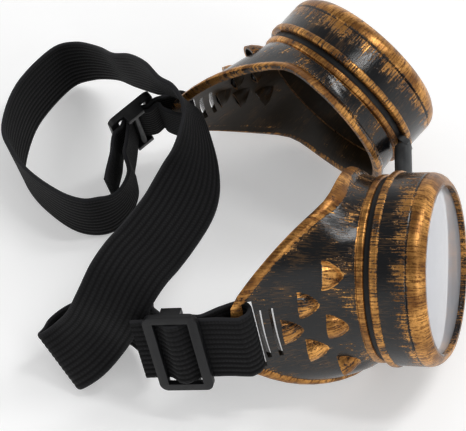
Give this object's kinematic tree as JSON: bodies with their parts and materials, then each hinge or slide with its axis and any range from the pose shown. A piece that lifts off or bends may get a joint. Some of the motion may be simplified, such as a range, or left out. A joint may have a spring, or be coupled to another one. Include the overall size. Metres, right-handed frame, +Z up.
{
  "type": "steampunk goggles",
  "caption": "Round-lens costume goggles with flared eye cups, screw-off lens caps, a rubber nose bridge and an elastic strap in slide buckles, lying on a table.",
  "frame": {"origin": "on the table under the middle of the bounding box of the goggles as they lie", "axes": "+X from the wearer's right cup to the left cup, +Z up from the table, the lenses face -Y"},
  "size_m": [0.1488, 0.1322, 0.0635],
  "materials": {
    "cup_plastic": "black with dry-brushed antique gold",
    "cap_plastic": "antique gold brushed over black",
    "clear_lens": "clear, polished",
    "gasket_rubber": "matte",
    "bridge_rubber": "satin",
    "elastic": "ribbed weave",
    "buckle_plastic": "satin"
  },
  "bodies": {
    "goggles": {"right_eye_cup": "cup_plastic", "left_eye_cup": "cup_plastic", "nose_bridge": "bridge_rubber", "right_strap_end": "elastic", "left_strap_end": "elastic", "right_strap_buckle": "buckle_plastic", "left_strap_buckle": "buckle_plastic", "strap_fold_run": "elastic", "strap_cross_run": "elastic", "strap_loop_run": "elastic"},
    "right_lens_stack": {"right_lens": "clear_lens", "right_lens_gasket": "gasket_rubber"},
    "right_cap": {"right_lens_cap": "cap_plastic"},
    "left_lens_stack": {"left_lens": "clear_lens", "left_lens_gasket": "gasket_rubber"},
    "left_cap": {"left_lens_cap": "cap_plastic"}
  },
  "joints": [
    {"name": "right_cap_travel", "type": "slide", "parent": "goggles", "child": "right_lens_stack", "axis": [-0.4062, -0.8712, 0.2756], "range_m": [0, 0.005]},
    {"name": "right_cap_turn", "type": "hinge", "parent": "right_lens_stack", "child": "right_cap", "pos_m": [-0.0435, -0.0372, 0.03273], "axis": [-0.4062, -0.8712, 0.2756], "range_deg": [0, 720]},
    {"name": "left_cap_travel", "type": "slide", "parent": "goggles", "child": "left_lens_stack", "axis": [0.5318, -0.7885, 0.309], "range_m": [0, 0.005]},
    {"name": "left_cap_turn", "type": "hinge", "parent": "left_lens_stack", "child": "left_cap", "pos_m": [0.0237, -0.0372, 0.03296], "axis": [0.5318, -0.7885, 0.309], "range_deg": [0, 720]}
  ],
  "couplings": [
    {"joint": "right_cap_travel", "follows": "right_cap_turn", "m_per_rad": 0.000397},
    {"joint": "left_cap_travel", "follows": "left_cap_turn", "m_per_rad": 0.000397}
  ]
}
